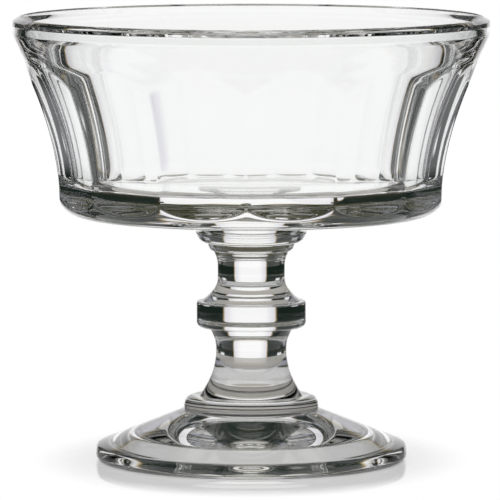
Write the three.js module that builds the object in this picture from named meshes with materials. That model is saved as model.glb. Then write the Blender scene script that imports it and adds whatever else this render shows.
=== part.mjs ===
// Dessert coupe in clear pressed glass: a flared bowl with arched panels, a turned stem and a round foot.
// Millimetres, +Z up. The origin is on the table, under the middle of the foot.
// Seven solid glass elements stand on one axis, each welded flat face to flat face with the next.
import * as THREE from 'three';

// Heights of the elements, in the order in which they are stacked
const FOOT_HEIGHT = 11.8;
const FOOT_COLLAR_HEIGHT = 3.35;
const LOWER_STEM_HEIGHT = 16.2;
const KNOP_HEIGHT = 6.25;
const UPPER_STEM_HEIGHT = 11.85;
const BOWL_COLLAR_HEIGHT = 8.4;
const BOWL_HEIGHT = 46.75;

// Foot: a slope from the collar down to a rounded edge, with a flat-topped hollow in the underside
const FOOT_RADIUS = 36.65;
const FOOT_EDGE_HEIGHT = 3.6;
const FOOT_EDGE_LOWER_ROUND = 1.4;
const FOOT_EDGE_UPPER_ROUND = 0.6;
const FOOT_LEDGE = 0.4;
const FOOT_HOLLOW_RADIUS = 31;
const FOOT_HOLLOW_DEPTH = 3.4;
const FOOT_HOLLOW_FLAT_RADIUS = 25.5;
const FOOT_HOLLOW_COVE = 0.35;

// Foot collar: a low ring with a full upper round
const FOOT_COLLAR_RADIUS = 15.9;
const FOOT_COLLAR_ROUND = 2.3;
const FOOT_COLLAR_SIDE = 0.5;

// Lower stem: a trumpet end on the collar, a waist, and a short flare up to the knop
const TRUMPET_RADIUS = 12.2;
const TRUMPET_BEND = 5.2;
const WAIST_RADIUS = 8.3;
const WAIST_HEIGHT = 11;
const LOWER_STEM_TOP_RADIUS = 10;
const LOWER_STEM_TOP_BEND = 2.6;

// Knop: a straight-sided ring, softly rounded below and crisp above
const KNOP_RADIUS = 12.9;
const KNOP_LOWER_ROUND = 1.6;
const KNOP_UPPER_ROUND = 0.7;

// Upper stem: a flare on the knop, a straight shaft and a taper up to the bowl collar
const SKIRT_RADIUS = 11.7;
const SKIRT_HEIGHT = 5.3;
const SKIRT_BEND = 2.8;
const SHAFT_RADIUS = 7.92;
const TAPER_HEIGHT = 3.6;
const TAPER_BEND = 1.9;
const TAPER_TOP_RADIUS = 8.95;

// Bowl collar: a small rounded step under a broad rounded disc
const COLLAR_STEP_RADIUS = 10.35;
const COLLAR_STEP_HEIGHT = 1.9;
const COLLAR_STEP_EASE = 0.4;
const COLLAR_RADIUS = 13.1;
const COLLAR_ROUND = 2.5;
const COLLAR_ROUND_EASE = 0.8;

// Bowl, outside: heights are measured from its underside
const PANEL_COUNT = 14;
const BASE_RADIUS = 46;
const BASE_CORNER = 6.5;
const PANEL_BASE_APOTHEM = 44.65;
const PANEL_STRAIGHT_HEIGHT = 5.2;
const PANEL_FLARE_POWER = 1.75;
const CUSP_HEIGHT = 31.3;
const ARCH_HEIGHT = 36;
const ARCH_RADIUS = 52.9;
const RIM_RADIUS = 56;
const RIM_BAND_HEIGHT = 3.85;
const RIM_CREST_INSET = 1.6;
const RIM_OUTER_CROWN = 0.95;
const RIM_OUTER_CROWN_EASE = 0.5;

// Bowl, inside
const RIM_WALL = 2.9;
const RIM_INNER_CROWN = 2.05;
const RIM_LIP_HEIGHT = 2;
const FLOOR_THICKNESS = 7.5;
const FLOOR_CORNER = 3.5;
const INNER_FLOOR_RADIUS = 41;
const INNER_FLARE_POWER = 1.8;

// Facets: steps round each turned element and each panel, and along each curve
const TURNED_STEPS = 48;
const STEPS_PER_PANEL = 6;
const CURVE_STEPS = 4;
const PANEL_ROWS = 7;
const ARCH_ROWS = 5;
const INNER_ROWS = 8;

const GLASS_COLOUR = 0xe4ebe4;
const GLASS_ROUGHNESS = 0.04;
const GLASS_METALNESS = 0;
const GLASS_OPACITY = 0.35;

const HALF_PANEL = Math.PI / PANEL_COUNT;
const MOUTH_RADIUS = RIM_RADIUS - RIM_WALL;
const BAND_TOP = BOWL_HEIGHT - RIM_OUTER_CROWN;
const BAND_BOTTOM = BAND_TOP - RIM_BAND_HEIGHT;
const LIP_TOP = BOWL_HEIGHT - RIM_INNER_CROWN;
const LIP_BOTTOM = LIP_TOP - RIM_LIP_HEIGHT;
const INNER_WALL_FOOT = FLOOR_THICKNESS + FLOOR_CORNER;

// Turns a half profile of (radius, height) about the Z axis
function turn(profile, steps = TURNED_STEPS) {
  const points = profile instanceof THREE.Path ? profile.getPoints(CURVE_STEPS) : profile;
  return new THREE.LatheGeometry(points, steps).rotateX(Math.PI / 2);
}

function footGeometry() {
  const topRadius = FOOT_COLLAR_RADIUS + FOOT_LEDGE;
  const slope = (FOOT_HEIGHT - FOOT_EDGE_HEIGHT) / (FOOT_RADIUS - topRadius);
  const shoulderRadius = FOOT_RADIUS - FOOT_EDGE_UPPER_ROUND;
  const shoulderHeight = FOOT_EDGE_HEIGHT + slope * FOOT_EDGE_UPPER_ROUND;
  const edgeCentre = FOOT_RADIUS - FOOT_EDGE_LOWER_ROUND;
  const coveRadius = THREE.MathUtils.lerp(FOOT_HOLLOW_FLAT_RADIUS, FOOT_HOLLOW_RADIUS, FOOT_HOLLOW_COVE);
  const profile = new THREE.Path();
  profile.moveTo(0, FOOT_HOLLOW_DEPTH);
  profile.lineTo(FOOT_HOLLOW_FLAT_RADIUS, FOOT_HOLLOW_DEPTH);
  profile.quadraticCurveTo(coveRadius, FOOT_HOLLOW_DEPTH, FOOT_HOLLOW_RADIUS, 0);
  profile.lineTo(edgeCentre, 0);
  profile.absarc(edgeCentre, FOOT_EDGE_LOWER_ROUND, FOOT_EDGE_LOWER_ROUND, -Math.PI / 2, 0);
  profile.quadraticCurveTo(FOOT_RADIUS, FOOT_EDGE_HEIGHT, shoulderRadius, shoulderHeight);
  profile.lineTo(topRadius, FOOT_HEIGHT);
  profile.lineTo(0, FOOT_HEIGHT);
  return turn(profile);
}

function footCollarGeometry() {
  const topRadius = FOOT_COLLAR_RADIUS - FOOT_COLLAR_ROUND;
  const profile = new THREE.Path();
  profile.moveTo(0, 0);
  profile.lineTo(FOOT_COLLAR_RADIUS, 0);
  profile.lineTo(FOOT_COLLAR_RADIUS, FOOT_COLLAR_SIDE);
  profile.quadraticCurveTo(FOOT_COLLAR_RADIUS, FOOT_COLLAR_HEIGHT, topRadius, FOOT_COLLAR_HEIGHT);
  profile.lineTo(0, FOOT_COLLAR_HEIGHT);
  return turn(profile);
}

function lowerStemGeometry() {
  const topBend = LOWER_STEM_HEIGHT - LOWER_STEM_TOP_BEND;
  const profile = new THREE.Path();
  profile.moveTo(0, 0);
  profile.lineTo(TRUMPET_RADIUS, 0);
  profile.quadraticCurveTo(WAIST_RADIUS, TRUMPET_BEND, WAIST_RADIUS, WAIST_HEIGHT);
  profile.quadraticCurveTo(WAIST_RADIUS, topBend, LOWER_STEM_TOP_RADIUS, LOWER_STEM_HEIGHT);
  profile.lineTo(0, LOWER_STEM_HEIGHT);
  return turn(profile);
}

function knopGeometry() {
  const profile = new THREE.Path();
  profile.moveTo(0, 0);
  profile.lineTo(KNOP_RADIUS - KNOP_LOWER_ROUND, 0);
  profile.quadraticCurveTo(KNOP_RADIUS, 0, KNOP_RADIUS, KNOP_LOWER_ROUND);
  profile.lineTo(KNOP_RADIUS, KNOP_HEIGHT - KNOP_UPPER_ROUND);
  profile.quadraticCurveTo(KNOP_RADIUS, KNOP_HEIGHT, KNOP_RADIUS - KNOP_UPPER_ROUND, KNOP_HEIGHT);
  profile.lineTo(0, KNOP_HEIGHT);
  return turn(profile);
}

function upperStemGeometry() {
  const taperFoot = UPPER_STEM_HEIGHT - TAPER_HEIGHT;
  const taperBend = UPPER_STEM_HEIGHT - TAPER_BEND;
  const profile = new THREE.Path();
  profile.moveTo(0, 0);
  profile.lineTo(SKIRT_RADIUS, 0);
  profile.quadraticCurveTo(SHAFT_RADIUS, SKIRT_BEND, SHAFT_RADIUS, SKIRT_HEIGHT);
  profile.lineTo(SHAFT_RADIUS, taperFoot);
  profile.quadraticCurveTo(SHAFT_RADIUS, taperBend, TAPER_TOP_RADIUS, UPPER_STEM_HEIGHT);
  profile.lineTo(0, UPPER_STEM_HEIGHT);
  return turn(profile);
}

function bowlCollarGeometry() {
  const stepCorner = COLLAR_STEP_RADIUS - COLLAR_STEP_EASE;
  const roundTop = COLLAR_STEP_HEIGHT + COLLAR_ROUND;
  const roundCorner = COLLAR_RADIUS - COLLAR_ROUND_EASE;
  const profile = new THREE.Path();
  profile.moveTo(0, 0);
  profile.lineTo(TAPER_TOP_RADIUS, 0);
  profile.quadraticCurveTo(stepCorner, 0, COLLAR_STEP_RADIUS, COLLAR_STEP_HEIGHT);
  profile.quadraticCurveTo(roundCorner, COLLAR_STEP_HEIGHT, COLLAR_RADIUS, roundTop);
  profile.lineTo(COLLAR_RADIUS, BOWL_COLLAR_HEIGHT);
  profile.lineTo(0, BOWL_COLLAR_HEIGHT);
  return turn(profile);
}

// Distance from the axis to the middle of a panel at a height: upright at the base, then flaring as a power curve
function panelApothem(height) {
  const rise = Math.max(0, height - PANEL_STRAIGHT_HEIGHT) / (ARCH_HEIGHT - PANEL_STRAIGHT_HEIGHT);
  return PANEL_BASE_APOTHEM + (ARCH_RADIUS - PANEL_BASE_APOTHEM) * rise ** PANEL_FLARE_POWER;
}

// Radius of the smooth inner wall at a height, by the same kind of curve
function innerRadius(height) {
  const rise = (height - FLOOR_THICKNESS) / (LIP_BOTTOM - FLOOR_THICKNESS);
  return INNER_FLOOR_RADIUS + (MOUTH_RADIUS - INNER_FLOOR_RADIUS) * rise ** INNER_FLARE_POWER;
}

// Points (radius, height) of a curve given by a function of height
function rows(radiusAt, from, to, count) {
  const heights = Array.from({ length: count }, (_, i) => THREE.MathUtils.lerp(from, to, i / (count - 1)));
  return heights.map((height) => new THREE.Vector2(radiusAt(height), height));
}

// Outline of the bowl before its panels are pressed: up the outside, over the rim and down the inside
function bowlOutline() {
  const ridgeRadius = (height) => panelApothem(height) / Math.cos(HALF_PANEL);
  const cuspRadius = ridgeRadius(CUSP_HEIGHT);
  const webRadius = (height) => THREE.MathUtils.mapLinear(
    height, CUSP_HEIGHT, ARCH_HEIGHT, cuspRadius, ARCH_RADIUS);

  const base = new THREE.Path();
  base.moveTo(0, 0);
  base.lineTo(BASE_RADIUS - BASE_CORNER, 0);
  base.absarc(BASE_RADIUS - BASE_CORNER, BASE_CORNER, BASE_CORNER, -Math.PI / 2, 0);

  const rim = new THREE.Path();
  const crestRadius = RIM_RADIUS - RIM_CREST_INSET;
  rim.moveTo(RIM_RADIUS, BAND_BOTTOM);
  rim.lineTo(RIM_RADIUS, BAND_TOP);
  rim.quadraticCurveTo(RIM_RADIUS - RIM_OUTER_CROWN_EASE, BOWL_HEIGHT, crestRadius, BOWL_HEIGHT);
  rim.quadraticCurveTo(MOUTH_RADIUS, BOWL_HEIGHT, MOUTH_RADIUS, LIP_TOP);

  const floor = new THREE.Path();
  const wallFoot = innerRadius(INNER_WALL_FOOT);
  floor.moveTo(wallFoot, INNER_WALL_FOOT);
  floor.quadraticCurveTo(wallFoot, FLOOR_THICKNESS, wallFoot - FLOOR_CORNER, FLOOR_THICKNESS);
  floor.lineTo(0, FLOOR_THICKNESS);

  return [
    ...base.getPoints(CURVE_STEPS),
    ...rows(ridgeRadius, BASE_CORNER, CUSP_HEIGHT, PANEL_ROWS).slice(1),
    ...rows(webRadius, CUSP_HEIGHT, ARCH_HEIGHT, ARCH_ROWS).slice(1),
    ...rim.getPoints(CURVE_STEPS),
    ...rows(innerRadius, LIP_BOTTOM, INNER_WALL_FOOT, INNER_ROWS),
    ...floor.getPoints(CURVE_STEPS).slice(1),
  ];
}

// Presses the flat panels: each point below the arches that lies beyond the plane of its panel moves in to it
function pressPanels(geometry) {
  const position = geometry.getAttribute('position');
  for (let i = 0; i < position.count; i += 1) {
    const [x, y, z] = [position.getX(i), position.getY(i), position.getZ(i)];
    const radius = Math.hypot(x, y);
    if (radius > 0 && z < ARCH_HEIGHT) {
      const turnFromRidge = THREE.MathUtils.euclideanModulo(Math.atan2(x, -y), 2 * HALF_PANEL);
      const planeRadius = panelApothem(z) / Math.cos(turnFromRidge - HALF_PANEL);
      const share = Math.min(1, planeRadius / radius);
      position.setXYZ(i, x * share, y * share, z);
    }
  }
  return geometry;
}

function bowlGeometry() {
  return pressPanels(turn(bowlOutline(), PANEL_COUNT * STEPS_PER_PANEL));
}

const ELEMENTS = [
  ['foot', FOOT_HEIGHT, footGeometry],
  ['foot_collar', FOOT_COLLAR_HEIGHT, footCollarGeometry],
  ['lower_stem', LOWER_STEM_HEIGHT, lowerStemGeometry],
  ['knop_ring', KNOP_HEIGHT, knopGeometry],
  ['upper_stem', UPPER_STEM_HEIGHT, upperStemGeometry],
  ['bowl_collar', BOWL_COLLAR_HEIGHT, bowlCollarGeometry],
  ['bowl', BOWL_HEIGHT, bowlGeometry],
];

function clearGlass() {
  return new THREE.MeshStandardMaterial({
    color: GLASS_COLOUR,
    roughness: GLASS_ROUGHNESS,
    metalness: GLASS_METALNESS,
    transparent: true,
    opacity: GLASS_OPACITY,
  });
}

// Stacks the elements on the axis, each on the top face of the one below
const coupe = new THREE.Group();
let level = 0;
for (const [name, height, makeGeometry] of ELEMENTS) {
  const element = new THREE.Mesh(makeGeometry(), clearGlass());
  element.name = name;
  element.position.z = level;
  coupe.add(element);
  level += height;
}

export default coupe;
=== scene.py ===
"""Looks of a footed dessert coupe in clear pressed glass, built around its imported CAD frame.

Sizes are in millimetres, as a glass maker writes them. A surface becomes metres when its mesh is made.
The axis of the coupe is +Z, the table is z = 0 and the viewer stands on the -Y side.
"""

import logging
import math
from dataclasses import dataclass
from enum import Enum
from typing import ClassVar

import bpy
import numpy as np
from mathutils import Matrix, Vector
from numpy.typing import NDArray


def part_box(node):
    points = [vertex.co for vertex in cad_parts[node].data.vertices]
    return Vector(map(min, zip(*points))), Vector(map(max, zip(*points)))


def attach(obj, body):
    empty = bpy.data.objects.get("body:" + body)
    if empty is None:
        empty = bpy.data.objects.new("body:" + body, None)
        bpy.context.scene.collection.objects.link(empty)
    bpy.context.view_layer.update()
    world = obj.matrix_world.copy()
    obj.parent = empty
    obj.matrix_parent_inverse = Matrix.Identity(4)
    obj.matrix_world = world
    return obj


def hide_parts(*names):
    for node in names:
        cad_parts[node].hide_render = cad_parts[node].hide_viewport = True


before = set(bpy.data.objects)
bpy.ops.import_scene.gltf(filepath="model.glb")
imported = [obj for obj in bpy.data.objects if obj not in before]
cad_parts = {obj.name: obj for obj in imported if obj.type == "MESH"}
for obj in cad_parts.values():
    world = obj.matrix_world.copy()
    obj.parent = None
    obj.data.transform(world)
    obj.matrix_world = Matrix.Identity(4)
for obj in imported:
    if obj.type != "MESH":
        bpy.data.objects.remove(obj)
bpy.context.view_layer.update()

MM = 0.001
LOG = logging.getLogger("dessert_coupe")

# Radii of the two welds where neither element is at its widest
KNOP_SEAT_RADIUS = 10.0
COLLAR_SEAT_RADIUS = 8.95

# Fire polish: half length of its bell curve in widths, and the fewest points of an outline
BELL_REACH = 4
LEAST_POINTS = 8

HALF_TURN = 180.0

Points = NDArray[np.float64]
Pair = tuple[float, float]
Colour = tuple[float, float, float]
Stops = tuple[tuple[float, Colour], ...]


class Weld(Enum):
    """Material places of an element: the glass surface, and the welded face that shows none."""

    SURFACE = 0
    SEAM = 1


def widest(node: str) -> float:
    """Radius of a CAD node at its widest place, in millimetres."""
    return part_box(node)[1].x / MM


def metres(sizes: Pair) -> Pair:
    """Two sizes in millimetres, as metres."""
    return sizes[0] * MM, sizes[1] * MM


def straight(start: Pair, end: Pair) -> Points:
    """Two ends of a straight stretch of outline.

    Args:
        start: Radius and height where the stretch begins.
        end: Radius and height where it ends.

    Returns:
        The two points, one to a row.
    """
    return np.array([start, end], float)


def bend(start: Pair, corner: Pair, end: Pair, steps: int = 48) -> Points:
    """A bent stretch: the quadratic curve (1-t)^2 start + 2t(1-t) corner + t^2 end.

    Args:
        start: Radius and height where the bend begins.
        corner: The point where the two end tangents meet.
        end: Radius and height where the bend ends.
        steps: Number of points along the bend.

    Returns:
        Points along the bend.
    """
    t = np.linspace(0, 1, steps)[:, None]
    return (1 - t) ** 2 * np.array(start) + 2 * t * (1 - t) * np.array(corner) + t ** 2 * np.array(end)


def arc(centre: Pair, radius: float, start: float, end: float, steps: int = 64) -> Points:
    """A stretch of a circle: centre + radius (cos a, sin a).

    Args:
        centre: Radius and height of the middle.
        radius: Radius of the circle.
        start: First angle, in degrees.
        end: Last angle, in degrees.
        steps: Number of points along the stretch.

    Returns:
        Points along the stretch.
    """
    angle = np.radians(np.linspace(start, end, steps))
    return np.column_stack([centre[0] + radius * np.cos(angle), centre[1] + radius * np.sin(angle)])


def fire_polish(outline: Points, ease: float, step: float = 0.04) -> Points:
    """Melts the hard corners of an outline, as the flame does on pressed glass.

    The outline is laid out at even steps of its own length and averaged with a bell curve of width ease.
    The two ends stay where they are, because the outline is carried on past each end by its own point
    reflection.

    Args:
        outline: Points of radius and height.
        ease: Width of the bell curve, in millimetres.
        step: Distance between the new points, in millimetres.

    Returns:
        The smooth outline at even steps.
    """
    reach = np.concatenate([[0], np.cumsum(np.hypot(*np.diff(outline, axis=0).T))])
    places = np.linspace(0, reach[-1], max(LEAST_POINTS, round(reach[-1] / step)))
    even = np.column_stack([np.interp(places, reach, outline[:, axis]) for axis in (0, 1)])
    half = min(len(even) - 1, max(1, round(BELL_REACH * ease / step)))
    weights = np.exp(-0.5 * (np.arange(-half, half + 1) * step / ease) ** 2)
    weights /= weights.sum()
    before = 2 * even[0] - even[half:0:-1]
    after = 2 * even[-1] - even[-2:-half - 2:-1]
    padded = np.vstack([before, even, after])
    return np.column_stack([np.convolve(padded[:, axis], weights, "valid") for axis in (0, 1)])


def share_rows(outline: Points, rows: int, turn_weight: float, extra: Points | None = None) -> Points:
    """Picks rows along an outline, close together where it turns sharply.

    Rows lie at equal steps of a running sum of length and turning angle, so flat stretches take few.

    Args:
        outline: A smooth outline at even steps.
        rows: Number of rows to keep, both ends included.
        turn_weight: Length, in millimetres, that one radian of turning counts for.
        extra: A further weight for each step, where something beside the outline needs rows.

    Returns:
        The outline at the chosen rows.
    """
    leg = np.diff(outline, axis=0)
    length = np.hypot(*leg.T)
    heading = np.unwrap(np.arctan2(leg[:, 1], leg[:, 0]))
    turning = np.abs(np.gradient(heading))
    weight = length + turn_weight * turning
    if extra is not None:
        weight = weight + extra * length
    reach = np.concatenate([[0], np.cumsum(weight)])
    places = np.linspace(0, reach[-1], rows)
    return np.column_stack([np.interp(places, reach, outline[:, axis]) for axis in (0, 1)])


def soft_minimum(first: Points, second: Points, melt: float) -> Points:
    """The smaller of two radii, with a rounded change-over: min(a, b) - max(k - |a - b|, 0)^2 / 4k.

    Args:
        first: Radii of one surface.
        second: Radii of the other.
        melt: Difference k below which the two melt into each other.

    Returns:
        The melted radii.
    """
    near = np.clip(melt - np.abs(first - second), 0, None)
    return np.minimum(first, second) - near ** 2 / (4 * melt)


def closed_surface(name: str, rings: Points, bottom: Points, top: Points) -> bpy.types.Mesh:
    """Makes a closed mesh from rings of points between a lower and an upper pole.

    Args:
        name: Name of the mesh.
        rings: Array of (row, column, xyz) in millimetres, counter-clockwise seen from above.
        bottom: The pole below or before the first ring.
        top: The pole above or after the last ring.

    Returns:
        The mesh, with quads between the rings and a fan of triangles at each pole.
    """
    rows, columns, _ = rings.shape
    vertices = np.vstack([rings.reshape(-1, 3), bottom, top]) * MM
    ring = np.arange(columns)
    after = np.roll(ring, -1)
    level = np.arange(rows - 1)[:, None] * columns
    here = level + ring
    beside = level + after
    quads = np.stack([here, beside, beside + columns, here + columns], axis=-1)
    low_pole = np.full(columns, rows * columns)
    last = (rows - 1) * columns
    low_fan = np.column_stack([low_pole, after, ring])
    high_fan = np.column_stack([low_pole + 1, last + ring, last + after])
    corners = np.concatenate([quads.ravel(), low_fan.ravel(), high_fan.ravel()])
    sizes = np.concatenate([np.full((rows - 1) * columns, 4), np.full(2 * columns, 3)])
    starts = np.concatenate([[0], np.cumsum(sizes)[:-1]])
    mesh = bpy.data.meshes.new(name)
    mesh.vertices.add(len(vertices))
    mesh.vertices.foreach_set("co", vertices.astype(np.float32).ravel())
    mesh.loops.add(len(corners))
    mesh.loops.foreach_set("vertex_index", corners.astype(np.int32))
    mesh.polygons.add(len(sizes))
    mesh.polygons.foreach_set("loop_start", starts.astype(np.int32))
    mesh.update(calc_edges=True)
    mesh.validate()
    return mesh


class ShaderDesk:
    """A node tree with short ways to add and join its nodes."""

    def __init__(self, owner: bpy.types.Material | bpy.types.World) -> None:
        """Empties the owner's node tree and keeps it.

        Args:
            owner: The material or world to work on.
        """
        owner.use_nodes = True
        self.tree = owner.node_tree
        self.tree.nodes.clear()

    def add(self, kind: str, **settings: object) -> bpy.types.Node:
        """Adds a node.

        Args:
            kind: Last part of the node's type name.
            settings: Properties of the node to set.

        Returns:
            The node.
        """
        node = self.tree.nodes.new("ShaderNode" + kind)
        for name, value in settings.items():
            setattr(node, name, value)
        return node

    def feed(self, socket: bpy.types.NodeSocket, value: object) -> None:
        """Joins an output to an input, or sets the input where the value is a plain one.

        Args:
            socket: The input.
            value: An output, a number, a vector or a colour.
        """
        if isinstance(value, bpy.types.NodeSocket):
            self.tree.links.new(value, socket)
        else:
            socket.default_value = value

    def calc(self, operation: str, *values: object) -> bpy.types.NodeSocket:
        """Adds a Math node.

        Args:
            operation: Name of the operation.
            values: Outputs or numbers to work on.

        Returns:
            The result.
        """
        node = self.add("Math", operation=operation)
        for socket, value in zip(node.inputs, values):
            self.feed(socket, value)
        return node.outputs[0]

    def fade(self, value: bpy.types.NodeSocket, start: float, end: float) -> bpy.types.NodeSocket:
        """A smooth change from 0 to 1.

        Args:
            value: What the change follows.
            start: Value at which the share is 0.
            end: Value at which it is 1. It may be the smaller of the two.

        Returns:
            The share.
        """
        node = self.add("MapRange", interpolation_type="SMOOTHSTEP")
        self.feed(node.inputs["Value"], value)
        self.feed(node.inputs["From Min"], start)
        self.feed(node.inputs["From Max"], end)
        return node.outputs["Result"]

    def window(self, value: bpy.types.NodeSocket, foot: Pair, top: Pair) -> bpy.types.NodeSocket:
        """A share that rises from 0 to 1 across the foot and falls to 0 again across the top."""
        return self.both(self.fade(value, *foot), self.fade(value, *reversed(top)))

    def both(self, *shares: object) -> bpy.types.NodeSocket:
        """The product of several shares, where all of them hold at once.

        Args:
            shares: Outputs or numbers, the first of them an output.

        Returns:
            The product.
        """
        result = shares[0]
        for share in shares[1:]:
            result = self.calc("MULTIPLY", result, share)
        return result

    def distance(self, place: bpy.types.NodeSocket, squeeze: float) -> bpy.types.NodeSocket:
        """Distance from the axis, with the X direction counted larger by the squeeze.

        Args:
            place: A position on the table.
            squeeze: Factor for the X direction.

        Returns:
            The distance.
        """
        scaled = self.add("VectorMath", operation="MULTIPLY")
        self.feed(scaled.inputs[0], place)
        self.feed(scaled.inputs[1], (squeeze, 1, 1))
        length = self.add("VectorMath", operation="LENGTH")
        self.feed(length.inputs[0], scaled.outputs["Vector"])
        return length.outputs["Value"]

    def blend(self, share: object, first: object, second: object) -> bpy.types.NodeSocket:
        """Mixes two colours.

        Args:
            share: Share of the second colour.
            first: A colour or an output.
            second: A colour or an output.

        Returns:
            The mixed colour.
        """
        node = self.add("Mix", data_type="RGBA")
        self.feed(node.inputs["Factor"], share)
        for name, colour in (("A", first), ("B", second)):
            linked = isinstance(colour, bpy.types.NodeSocket)
            self.feed(node.inputs[name], colour if linked else (*colour, 1))
        return node.outputs["Result"]

    def tones(self, share: bpy.types.NodeSocket, stops: Stops) -> bpy.types.NodeSocket:
        """Runs a share through a row of colours.

        Args:
            share: Place along the row, 0 to 1.
            stops: Places and colours, in order.

        Returns:
            The colour.
        """
        node = self.add("ValToRGB")
        ramp = node.color_ramp
        while len(ramp.elements) < len(stops):
            ramp.elements.new(0.5)
        for element, (place, colour) in zip(ramp.elements, stops):
            element.position = place
            element.color = (*colour, 1)
        self.feed(node.inputs["Fac"], share)
        return node.outputs["Color"]


@dataclass(frozen=True)
class GlassFinish:
    """Fire-polished clear pressed glass, with a faint green cast and fine striae."""

    name: str = "clear_glass"
    clear: Colour = (0.995, 0.998, 0.996)
    cast: Colour = (0.98, 0.99, 0.983)
    refraction: float = 1.52
    striae_scale: float = 60.0
    striae_detail: float = 1.0
    polish: Pair = (0.0, 0.015)

    def material(self) -> bpy.types.Material:
        """Makes the material: striae in the colour and cloudy patches in the polish.

        Returns:
            The material.
        """
        made = bpy.data.materials.new(self.name)
        desk = ShaderDesk(made)
        striae = desk.add("TexNoise")
        desk.feed(striae.inputs["Vector"], desk.add("TexCoord").outputs["Object"])
        desk.feed(striae.inputs["Scale"], self.striae_scale)
        desk.feed(striae.inputs["Detail"], self.striae_detail)
        haze = desk.add("MapRange")
        desk.feed(haze.inputs["Value"], striae.outputs["Fac"])
        desk.feed(haze.inputs["To Min"], self.polish[0])
        desk.feed(haze.inputs["To Max"], self.polish[1])
        glass = desk.add("BsdfPrincipled")
        desk.feed(glass.inputs["Transmission Weight"], 1.0)
        desk.feed(glass.inputs["IOR"], self.refraction)
        desk.feed(glass.inputs["Base Color"], desk.blend(striae.outputs["Fac"], self.clear, self.cast))
        desk.feed(glass.inputs["Roughness"], haze.outputs["Result"])
        desk.feed(desk.add("OutputMaterial").inputs["Surface"], glass.outputs["BSDF"])
        return made


@dataclass(frozen=True)
class SeamFinish:
    """The inside of a hot weld, where the glass runs through and no surface is left to see."""

    name: str = "welded_seam"

    def material(self) -> bpy.types.Material:
        """Makes the material: light goes straight on.

        Returns:
            The material.
        """
        made = bpy.data.materials.new(self.name)
        desk = ShaderDesk(made)
        through = desk.add("BsdfTransparent")
        desk.feed(desk.add("OutputMaterial").inputs["Surface"], through.outputs["BSDF"])
        return made


@dataclass
class TurnedElement:
    """One glass element of the stack: an outline turned about the axis.

    Where the outline starts or ends away from the axis, a welded face closes it.
    Heights are measured from the element's own underside, which the CAD frame gives.
    """

    node: ClassVar[str] = ""
    columns: ClassVar[int] = 240
    row_count: ClassVar[int] = 90
    turn_weight: ClassVar[float] = 3.0
    ease: float = 0.12

    def __post_init__(self) -> None:
        """Takes the element's level, height and radius from its CAD node."""
        low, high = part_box(self.node)
        self.level = low.z / MM
        self.height = (high.z - low.z) / MM
        self.radius = widest(self.node)

    def surface_outline(self) -> Points:
        """The outline of the free glass surface, from the lower weld to the upper weld or to the axis."""
        raise NotImplementedError

    def angles(self) -> Points:
        """Angles of the columns round the axis, in radians."""
        return np.linspace(0, 2 * math.pi, self.columns, endpoint=False)

    def rows(self) -> Points:
        """The polished outline at its chosen rows."""
        outline = fire_polish(self.surface_outline(), self.ease)
        return share_rows(outline, self.row_count, self.turn_weight)

    def ring_radii(self, rows: Points, angles: Points) -> Points:
        """Radius at each row and column. A turned element has the outline's radius all round.

        Args:
            rows: Radius and height of each row.
            angles: Angles of the columns.

        Returns:
            Array of (row, column) radii.
        """
        return np.repeat(rows[:, :1], len(angles), axis=1)

    def build(self) -> bpy.types.Object:
        """Turns the outline into a closed mesh: point = (radius sin a, -radius cos a, height).

        Returns:
            The element's object, at the origin.
        """
        rows = self.rows()
        angles = self.angles()
        low_pole, high_pole = rows[[0, -1], 0] < self.ease
        kept = slice(int(low_pole), len(rows) - int(high_pole))
        radii = self.ring_radii(rows, angles)[kept]
        heights = np.repeat(rows[kept, 1:], len(angles), axis=1) + self.level
        rings = np.stack([radii * np.sin(angles), -radii * np.cos(angles), heights], axis=-1)
        bottom = np.array([[0, 0, self.level + rows[0, 1]]])
        top = np.array([[0, 0, self.level + rows[-1, 1]]])
        mesh = closed_surface(self.node, rings, bottom, top)
        count = len(angles)
        place = np.zeros(len(mesh.polygons), np.int32)
        place[-2 * count:-count] = (Weld.SURFACE if low_pole else Weld.SEAM).value
        place[-count:] = (Weld.SURFACE if high_pole else Weld.SEAM).value
        mesh.polygons.foreach_set("material_index", place)
        mesh.polygons.foreach_set("use_smooth", place == Weld.SURFACE.value)
        made = bpy.data.objects.new(self.node + "_glass", mesh)
        bpy.context.scene.collection.objects.link(made)
        return made

    def dress(self, made: bpy.types.Object, glass: bpy.types.Material, seam: bpy.types.Material) -> None:
        """Gives the element its finishes and its place in the frame.

        Args:
            made: The element's object.
            glass: Finish of the free surface.
            seam: Finish of the welded faces.
        """
        made.data.materials.append(glass)
        made.data.materials.append(seam)
        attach(made, "root")
        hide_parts(self.node)
        LOG.info("%s: %d faces", made.name, len(made.data.polygons))


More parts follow.
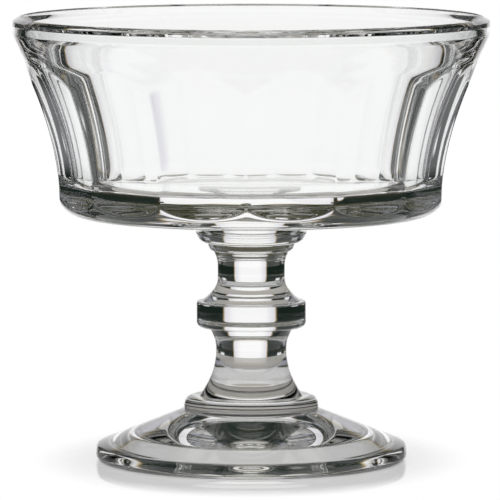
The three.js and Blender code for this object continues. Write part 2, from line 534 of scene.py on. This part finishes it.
@dataclass
class Foot(TurnedElement):
    """Round foot: a slope down to a rounded edge, and a flat-topped hollow underneath."""

    node: ClassVar[str] = "foot"
    columns: ClassVar[int] = 320
    row_count: ClassVar[int] = 150
    edge_height: float = 3.6
    edge_lower_round: float = 1.4
    edge_upper_round: float = 0.6
    ledge: float = 0.4
    hollow_radius: float = 31.0
    hollow_depth: float = 3.4
    hollow_flat: float = 25.5
    hollow_cove: float = 0.35

    def surface_outline(self) -> Points:
        """Underside, edge, slope and the narrow ledge round the collar.

        Returns:
            Radius and height of each point.
        """
        collar = widest(FootCollar.node)
        top = collar + self.ledge
        slope = (self.height - self.edge_height) / (self.radius - top)
        shoulder = (self.radius - self.edge_upper_round, self.edge_height + slope * self.edge_upper_round)
        centre = (self.radius - self.edge_lower_round, self.edge_lower_round)
        hollow = (self.hollow_flat, self.hollow_depth)
        cove = self.hollow_flat + self.hollow_cove * (self.hollow_radius - self.hollow_flat)
        return np.vstack([
            straight((0, self.hollow_depth), hollow),
            bend(hollow, (cove, self.hollow_depth), (self.hollow_radius, 0)),
            arc(centre, self.edge_lower_round, -90, 0),
            bend((self.radius, self.edge_lower_round), (self.radius, self.edge_height), shoulder),
            straight((top, self.height), (collar, self.height)),
        ])


@dataclass
class FootCollar(TurnedElement):
    """Low ring with a full upper round, between the foot and the stem."""

    node: ClassVar[str] = "foot_collar"
    upper_round: float = 2.3
    side: float = 0.5

    def surface_outline(self) -> Points:
        """Short side, full round and the narrow ledge round the stem.

        Returns:
            Radius and height of each point.
        """
        shoulder = (self.radius - self.upper_round, self.height)
        return np.vstack([
            straight((self.radius, 0), (self.radius, self.side)),
            bend((self.radius, self.side), (self.radius, self.height), shoulder),
            straight(shoulder, (widest(LowerStem.node), self.height)),
        ])


@dataclass
class LowerStem(TurnedElement):
    """Waisted length of stem with a trumpet end on the foot collar."""

    node: ClassVar[str] = "lower_stem"
    trumpet_bend: float = 5.2
    waist_radius: float = 8.3
    waist_height: float = 11.0
    top_bend: float = 2.6

    def surface_outline(self) -> Points:
        """Trumpet up to the waist, then a short flare up to the knop.

        Returns:
            Radius and height of each point.
        """
        waist = (self.waist_radius, self.waist_height)
        flare = (self.waist_radius, self.height - self.top_bend)
        return np.vstack([
            bend((self.radius, 0), (self.waist_radius, self.trumpet_bend), waist),
            bend(waist, flare, (KNOP_SEAT_RADIUS, self.height)),
        ])


@dataclass
class KnopRing(TurnedElement):
    """Straight-sided ring in the middle of the stem, softly rounded below and crisp above."""

    node: ClassVar[str] = "knop_ring"
    lower_round: float = 1.6
    upper_round: float = 0.7

    def surface_outline(self) -> Points:
        """Underside ledge, lower round, straight side, upper round and top ledge.

        Returns:
            Radius and height of each point.
        """
        under = (self.radius - self.lower_round, 0)
        above = (self.radius - self.upper_round, self.height)
        side_top = (self.radius, self.height - self.upper_round)
        return np.vstack([
            straight((KNOP_SEAT_RADIUS, 0), under),
            bend(under, (self.radius, 0), (self.radius, self.lower_round)),
            bend(side_top, (self.radius, self.height), above),
            straight(above, (widest(UpperStem.node), self.height)),
        ])


@dataclass
class UpperStem(TurnedElement):
    """Straight length of stem that flares down onto the knop and tapers out under the bowl collar."""

    node: ClassVar[str] = "upper_stem"
    skirt_height: float = 5.3
    skirt_bend: float = 2.8
    shaft_radius: float = 7.92
    taper_height: float = 3.6
    taper_bend: float = 1.9

    def surface_outline(self) -> Points:
        """Skirt, shaft and taper.

        Returns:
            Radius and height of each point.
        """
        skirt_top = (self.shaft_radius, self.skirt_height)
        taper_foot = (self.shaft_radius, self.height - self.taper_height)
        taper_corner = (self.shaft_radius, self.height - self.taper_bend)
        return np.vstack([
            bend((self.radius, 0), (self.shaft_radius, self.skirt_bend), skirt_top),
            bend(taper_foot, taper_corner, (COLLAR_SEAT_RADIUS, self.height)),
        ])


@dataclass
class BowlCollar(TurnedElement):
    """Stepped collar under the bowl: a small rounded step below a broad rounded disc."""

    node: ClassVar[str] = "bowl_collar"
    step_radius: float = 10.35
    step_height: float = 1.9
    step_ease: float = 0.4
    disc_round: float = 2.5
    disc_ease: float = 0.8

    def surface_outline(self) -> Points:
        """Small step, broad round and short upright side.

        Returns:
            Radius and height of each point.
        """
        step = (self.step_radius, self.step_height)
        side = (self.radius, self.step_height + self.disc_round)
        return np.vstack([
            bend((COLLAR_SEAT_RADIUS, 0), (self.step_radius - self.step_ease, 0), step),
            bend(step, (self.radius - self.disc_ease, self.step_height), side),
            straight(side, (self.radius, self.height)),
        ])


@dataclass
class Bowl(TurnedElement):
    """Flared bowl with a ring of flat arched panels, a thick base and a banded rim."""

    node: ClassVar[str] = "bowl"
    panels: ClassVar[int] = 14
    columns_per_panel: ClassVar[int] = 28
    row_count: ClassVar[int] = 230
    ridge_steps: ClassVar[int] = 120
    wall_steps: ClassVar[int] = 160
    turn_weight: ClassVar[float] = 6.0
    base_radius: float = 46.0
    base_corner: float = 6.5
    panel_base: float = 44.65
    panel_straight: float = 5.2
    flare_power: float = 1.75
    cusp_height: float = 31.3
    arch_height: float = 36.0
    arch_radius: float = 52.9
    band_height: float = 3.0
    crest_inset: float = 1.6
    outer_crown: float = 0.95
    outer_crown_ease: float = 0.8
    outer_crown_drop: float = 0.35
    rim_wall: float = 2.95
    inner_crown: float = 1.95
    inner_crown_ease: float = 1.05
    inner_crown_drop: float = 0.8
    lip_height: float = 1.6
    band_round: float = 0.8
    web_round: float = 1.3
    floor_thickness: float = 7.5
    floor_corner: float = 3.5
    floor_radius: float = 41.0
    inner_power: float = 1.8
    panel_lean: float = 0.4
    panel_reach: float = 2.0
    ridge_melt: float = 0.3
    arch_melt: float = 0.25
    arch_margin: Pair = (2.0, 1.0)
    end_margin: Pair = (2.0, 5.0)
    detail_weight: float = 3.0

    def apothem(self, height: Points) -> Points:
        """Distance from the axis to the middle of a panel: upright at the base, then a power curve out.

        Above the arches the plane leans away from the glass, so that it cuts nothing there.

        Args:
            height: Heights above the bowl's underside.

        Returns:
            The distances.
        """
        rise = np.clip(height - self.panel_straight, 0, None) / (self.arch_height - self.panel_straight)
        away = self.panel_lean * np.clip(height - self.arch_height, 0, None)
        flare = (self.arch_radius - self.panel_base) * rise ** self.flare_power
        return self.panel_base + flare + away

    def inner_radius(self, height: Points) -> Points:
        """Radius of the inner wall, by the same kind of power curve from the floor to the mouth.

        Args:
            height: Heights above the bowl's underside.

        Returns:
            The radii.
        """
        lip = self.height - self.inner_crown - self.lip_height
        rise = (height - self.floor_thickness) / (lip - self.floor_thickness)
        mouth = self.radius - self.rim_wall
        return self.floor_radius + (mouth - self.floor_radius) * rise ** self.inner_power

    def outer_outline(self) -> Points:
        """Underside, base corner, ridge line, web and rim band.

        Returns:
            Radius and height of each point.
        """
        corner = self.base_radius - self.base_corner
        ridge = np.linspace(self.base_corner, self.cusp_height, self.ridge_steps)
        ridge_radius = self.apothem(ridge) / math.cos(math.pi / self.panels)
        cusp = np.array([ridge_radius[-1], self.cusp_height])
        arch = np.array([self.arch_radius, self.arch_height])
        band = np.array([self.radius, self.height - self.outer_crown - self.band_height])
        web = (cusp - arch) / np.linalg.norm(cusp - arch)
        flare = (band - arch) / np.linalg.norm(band - arch)
        return np.vstack([
            straight((widest(BowlCollar.node), 0), (corner, 0)),
            arc((corner, self.base_corner), self.base_corner, -90, 0),
            np.column_stack([ridge_radius, ridge])[1:],
            bend(arch + self.web_round * web, arch, arch + self.web_round * flare),
            bend(band - self.band_round * flare, band, band + (0, self.band_round)),
        ])

    def surface_outline(self) -> Points:
        """The outside, then the crown, inner lip, inner wall and floor.

        Returns:
            Radius and height of each point.
        """
        crest = (self.radius - self.crest_inset, self.height)
        outer_corner = (self.radius - self.outer_crown_ease, self.height - self.outer_crown_drop)
        mouth = self.radius - self.rim_wall
        inner_corner = (mouth + self.inner_crown_ease, self.height - self.inner_crown_drop)
        lip_top = self.height - self.inner_crown
        wall_foot = self.floor_thickness + self.floor_corner
        inner = np.linspace(lip_top - self.lip_height, wall_foot, self.wall_steps)
        foot_radius = float(self.inner_radius(np.array(wall_foot)))
        floor_edge = (foot_radius - self.floor_corner, self.floor_thickness)
        return np.vstack([
            self.outer_outline(),
            bend((self.radius, self.height - self.outer_crown), outer_corner, crest),
            bend(crest, inner_corner, (mouth, lip_top)),
            np.column_stack([self.inner_radius(inner), inner]),
            bend((foot_radius, wall_foot), (foot_radius, self.floor_thickness), floor_edge),
            straight(floor_edge, (0, self.floor_thickness)),
        ])

    def rows(self) -> Points:
        """The polished outline, with more rows where the arches and the panels' lower ends cross it.

        Returns:
            Radius and height of each row.
        """
        outline = fire_polish(self.surface_outline(), self.ease)
        radius, height = ((outline[1:] + outline[:-1]) / 2).T
        outside = np.arange(len(height)) < np.argmax(outline[:, 1])
        below, above = self.arch_margin
        arches = (height > self.cusp_height - below) & (height < self.arch_height + above)
        over, inset = self.end_margin
        ends = (height < self.base_corner + over) & (radius > self.base_radius - inset)
        extra = self.detail_weight * (outside & (arches | ends))
        return share_rows(outline, self.row_count, self.turn_weight, extra)

    def angles(self) -> Points:
        """Columns bunched at the ridges: the turn within a panel is half a panel times sin(pi u / 2).

        Returns:
            Angles round the axis, in radians.
        """
        half = math.pi / self.panels
        u = np.linspace(-1, 1, self.columns_per_panel, endpoint=False)
        within = half * np.sin(math.pi * u / 2)
        middles = half + 2 * half * np.arange(self.panels)
        return (middles[:, None] + within[None, :]).ravel()

    def ring_radii(self, rows: Points, angles: Points) -> Points:
        """Presses the panels into the outside: the soft minimum of the outline and of the panels' planes.

        A panel's plane lies at apothem / cos(turn from the panel's middle).
        Two neighbouring planes meet in a soft ridge.

        Args:
            rows: Radius and height of each row.
            angles: Angles of the columns.

        Returns:
            Array of (row, column) radii.
        """
        half = math.pi / self.panels
        turn = np.abs(np.mod(angles, 2 * half) - half)[None, :]
        apothem = self.apothem(rows[:, 1])[:, None]
        own = apothem / np.cos(turn)
        next_one = apothem / np.cos(2 * half - turn)
        plane = soft_minimum(own, next_one, self.ridge_melt)
        body = super().ring_radii(rows, angles)
        pressed = soft_minimum(body, plane, self.arch_melt)
        before_crest = np.arange(len(rows)) < np.argmax(rows[:, 1])
        outside = before_crest & (rows[:, 1] < self.arch_height + self.panel_reach)
        return np.where(outside[:, None], np.minimum(body, pressed), body)


@dataclass
class Studio:
    """White studio for glass: a pale table, a bright field behind, dark cards beside it, a dim ceiling.

    Angles are in degrees. Turns are counted from straight behind the coupe, and slopes from the horizon.
    """

    table_steps: ClassVar[int] = 128
    field_half_angle: float = 20.3
    field_core: float = 10.0
    field_top: Pair = (19.0, 28.0)
    card_soft: float = 1.6
    card_end: Pair = (62.0, 70.0)
    fringe_stops: Pair = (0.3, 0.7)
    open_top: Pair = (-13.0, -10.0)
    slot_turn: float = 45.0
    slot_half_angle: float = 6.0
    slot_foot: Pair = (-24.0, -20.0)
    slot_top: Pair = (-13.0, -10.0)
    ground_top: Pair = (-40.0, -33.0)
    veil_start: Pair = (25.0, 40.0)
    side_start: Pair = (52.0, 66.0)
    side_foot: Pair = (4.0, 12.0)
    side_top: Pair = (26.0, 36.0)
    strip_foot: Pair = (42.0, 47.0)
    strip_top: Pair = (57.0, 62.0)
    strip_end: Pair = (19.0, 25.0)
    ceiling_start: Pair = (60.0, 120.0)
    white: Colour = (1.0, 1.0, 1.0)
    field_edge: Colour = (0.78, 0.76, 0.82)
    card: Colour = (0.012, 0.021, 0.015)
    card_fringe: Colour = (0.22, 0.17, 0.07)
    field_fringe: Colour = (0.70, 0.60, 0.40)
    slot_light: Colour = (0.85, 0.85, 0.88)
    side_light: Colour = (0.28, 0.28, 0.32)
    ceiling: Colour = (0.060, 0.057, 0.022)
    strip_light: Colour = (0.80, 0.77, 0.72)
    table_radius: float = 95.0
    table_clear: Pair = (50.0, 66.0)
    table_squeeze: float = 1.25
    table_white: float = 0.30
    table_roughness: float = 0.03
    # Painted light: a white glow on the table under the foot, seen only through the glass; the radii where
    # it fades out, and its share
    painted_light_patch_radius: Pair = (30.0, 33.0)
    painted_light_share: float = 0.55
    # Painted shade: the table's darker colour, seen only through the glass
    through_glass_painted_shade: Colour = (0.55, 0.53, 0.50)

    def world(self) -> None:
        """Lights the studio: white for the eye and the table, field and cards for the glass."""
        made = bpy.data.worlds.new("studio")
        bpy.context.scene.world = made
        desk = ShaderDesk(made)
        path = desk.add("LightPath")
        plain = desk.calc("MAXIMUM", path.outputs["Is Camera Ray"], path.outputs["Is Diffuse Ray"])
        back = desk.add("Background")
        desk.feed(back.inputs["Color"], desk.blend(plain, self.glass_light(desk, path), self.white))
        desk.feed(desk.add("OutputWorld").inputs["Surface"], back.outputs["Background"])

    def glass_light(self, desk: ShaderDesk, path: bpy.types.Node) -> bpy.types.NodeSocket:
        """Light that the glass shows: field and cards first, then slot, side light, ceiling and strip.

        Args:
            desk: The world's node tree.
            path: Its Light Path node.

        Returns:
            The colour in each direction.
        """
        parts = desk.add("SeparateXYZ")
        desk.feed(parts.inputs["Vector"], desk.add("TexCoord").outputs["Generated"])
        across = desk.calc("ABSOLUTE", parts.outputs["X"])
        turn = desk.calc("DEGREES", desk.calc("ARCTAN2", across, parts.outputs["Y"]))
        slope = desk.calc("DEGREES", desk.calc("ARCSINE", parts.outputs["Z"]))
        bright = self.bright_parts(desk, path, turn, slope)

        off_slot = desk.calc("ABSOLUTE", desk.calc("SUBTRACT", turn, self.slot_turn))
        slot = desk.both(self.within(desk, off_slot, self.slot_half_angle),
                         desk.window(slope, self.slot_foot, self.slot_top))
        side = desk.both(desk.fade(turn, *self.side_start),
                         desk.window(slope, self.side_foot, self.side_top),
                         desk.calc("SUBTRACT", 1.0, bright))
        high = desk.both(desk.fade(turn, *self.ceiling_start), desk.fade(slope, *self.side_top))
        strip = desk.both(desk.fade(turn, *reversed(self.strip_end)),
                          desk.window(slope, self.strip_foot, self.strip_top))
        lit = self.field_and_cards(desk, turn, bright)
        for share, colour in ((slot, self.slot_light), (side, self.side_light),
                              (high, self.ceiling), (strip, self.strip_light)):
            lit = desk.blend(share, lit, colour)
        return lit

    def within(self, desk: ShaderDesk, angle: bpy.types.NodeSocket, limit: float) -> bpy.types.NodeSocket:
        """Share of 1 inside a limit angle, with the cards' soft edge."""
        return desk.fade(angle, limit + self.card_soft, limit - self.card_soft)

    def bright_parts(self, desk: ShaderDesk, path: bpy.types.Node, turn: bpy.types.NodeSocket,
                     slope: bpy.types.NodeSocket) -> bpy.types.NodeSocket:
        """Share of white in each direction: the field behind, the open front and the ground.

        Args:
            desk: The world's node tree.
            path: Its Light Path node.
            turn: Angle from straight behind, 0 to 180 on both sides.
            slope: Angle above the horizon.

        Returns:
            The share, 0 to 1.
        """
        behind = desk.both(self.within(desk, turn, self.field_half_angle),
                           desk.fade(slope, *reversed(self.field_top)))
        front = desk.both(desk.fade(turn, *self.card_end), desk.fade(slope, *reversed(self.open_top)))
        from_front = desk.calc("SUBTRACT", HALF_TURN, turn)
        beside = desk.both(desk.fade(turn, *self.veil_start), desk.fade(from_front, *self.veil_start))
        veil = desk.both(path.outputs["Is Glossy Ray"], beside)
        ground = desk.both(desk.fade(slope, *reversed(self.ground_top)), desk.calc("SUBTRACT", 1.0, veil))
        return desk.calc("MAXIMUM", desk.calc("MAXIMUM", behind, front), ground)

    def field_and_cards(self, desk: ShaderDesk, turn: bpy.types.NodeSocket,
                        bright: bpy.types.NodeSocket) -> bpy.types.NodeSocket:
        """Colours the bright parts and the cards, with warm fringes between them and a cool field edge.

        Args:
            desk: The world's node tree.
            turn: Angle from straight behind.
            bright: Share of white.

        Returns:
            The colour.
        """
        dark_stop, bright_stop = self.fringe_stops
        stops = ((0.0, self.card), (dark_stop, self.card_fringe),
                 (bright_stop, self.field_fringe), (1.0, self.white))
        core = desk.fade(turn, self.field_half_angle, self.field_core)
        core = desk.calc("MAXIMUM", core, desk.fade(turn, *self.card_end))
        shaded = desk.add("Mix", data_type="RGBA", blend_type="MULTIPLY")
        desk.feed(shaded.inputs["Factor"], 1.0)
        desk.feed(shaded.inputs["A"], desk.tones(bright, stops))
        desk.feed(shaded.inputs["B"], desk.blend(core, self.field_edge, self.white))
        return shaded.outputs["Result"]

    def table(self) -> None:
        """Lays a round pale table top under the coupe. It keeps the shadow and runs out into the white."""
        angles = np.linspace(0, 2 * math.pi, self.table_steps, endpoint=False)
        edge = np.column_stack([np.cos(angles), np.sin(angles), np.zeros(self.table_steps)])
        mesh = bpy.data.meshes.new("table_top")
        mesh.from_pydata((edge * self.table_radius * MM).tolist(), [], [list(range(self.table_steps))])
        mesh.materials.append(self.table_paint())
        made = bpy.data.objects.new("table_top", mesh)
        bpy.context.scene.collection.objects.link(made)

    def table_paint(self) -> bpy.types.Material:
        """Makes the table's pale gloss, which turns white to the eye away from the foot.

        Seen through the glass the table is painted darker, a painted shade, and under the foot rays
        through the glass see a white glow mixed in, a painted pool of light.

        Returns:
            The material.
        """
        paint = bpy.data.materials.new("pale_table")
        desk = ShaderDesk(paint)
        path = desk.add("LightPath")
        seen_through = path.outputs["Is Transmission Ray"]
        gloss = desk.add("BsdfPrincipled")
        # Painted shade: rays through the glass see the table in a darker colour
        desk.feed(gloss.inputs["Base Color"], desk.blend(seen_through, self.white, self.through_glass_painted_shade))
        desk.feed(gloss.inputs["Roughness"], self.table_roughness)
        where = desk.add("TexCoord").outputs["Object"]
        far = desk.fade(desk.distance(where, self.table_squeeze), *metres(self.table_clear))
        share = desk.calc("ADD", desk.calc("MULTIPLY", far, 1 - self.table_white), self.table_white)
        # Painted light: under the foot, rays through the glass see a white glow mixed into the table
        under = desk.fade(desk.distance(where, 1.0), *reversed(metres(self.painted_light_patch_radius)))
        seen = desk.both(path.outputs["Is Camera Ray"], share)
        through = desk.both(seen_through, under, self.painted_light_share)
        mixed = desk.add("MixShader")
        desk.feed(mixed.inputs["Fac"], desk.calc("MAXIMUM", seen, through))
        desk.feed(mixed.inputs[1], gloss.outputs["BSDF"])
        desk.feed(mixed.inputs[2], desk.add("Emission").outputs["Emission"])
        desk.feed(desk.add("OutputMaterial").inputs["Surface"], mixed.outputs["Shader"])
        return paint


@dataclass
class Viewpoint:
    """The viewer's place: a long lens, a little above the rim."""

    distance: float = 1280.0
    eye_height: float = 178.0
    aim_height: float = 49.511
    aim_side: float = -0.3
    width: float = 117.741
    turn: float = 1.3
    sensor: float = 36.0
    near: float = 50.0
    far: float = 20000.0

    def camera(self) -> None:
        """Sets the camera on the -Y side, turned a little about the axis, aimed at the coupe's middle."""
        data = bpy.data.cameras.new("viewpoint")
        made = bpy.data.objects.new("viewpoint", data)
        bpy.context.scene.collection.objects.link(made)
        turn = math.radians(self.turn)
        across = math.sin(turn) * self.distance
        back = -math.cos(turn) * self.distance
        side = Vector((math.cos(turn), math.sin(turn), 0)) * self.aim_side * MM
        aim = Vector((0, 0, self.aim_height * MM)) + side
        made.location = Vector((across, back, self.eye_height)) * MM + side
        look = aim - made.location
        made.rotation_mode = "QUATERNION"
        made.rotation_quaternion = look.to_track_quat("-Z", "Y")
        data.sensor_width = self.sensor
        data.lens = self.sensor * look.length / (self.width * MM)
        data.clip_start = self.near * MM
        data.clip_end = self.far * MM
        bpy.context.scene.camera = made


@dataclass(frozen=True)
class LightPaths:
    """How often light may go on: through glass, between gloss, and across welded seams."""

    glass: int = 32
    gloss: int = 16
    seams: int = 64

    def apply(self) -> None:
        """Lets light go on through many glass surfaces, and shows plain colours."""
        cycles = bpy.context.scene.cycles
        cycles.max_bounces = self.glass
        cycles.transmission_bounces = self.glass
        cycles.glossy_bounces = self.gloss
        cycles.transparent_max_bounces = self.seams
        bpy.context.scene.view_settings.view_transform = "Standard"


def main() -> None:
    """Builds the coupe from the foot up, then the studio round it."""
    logging.basicConfig(level=logging.INFO)
    LightPaths().apply()
    Viewpoint().camera()
    glass = GlassFinish().material()
    seam = SeamFinish().material()
    for kind in (Foot, FootCollar, LowerStem, KnopRing, UpperStem, BowlCollar, Bowl):
        element = kind()
        element.dress(element.build(), glass, seam)
    studio = Studio()
    studio.world()
    studio.table()


if __name__ == "__main__":
    main()
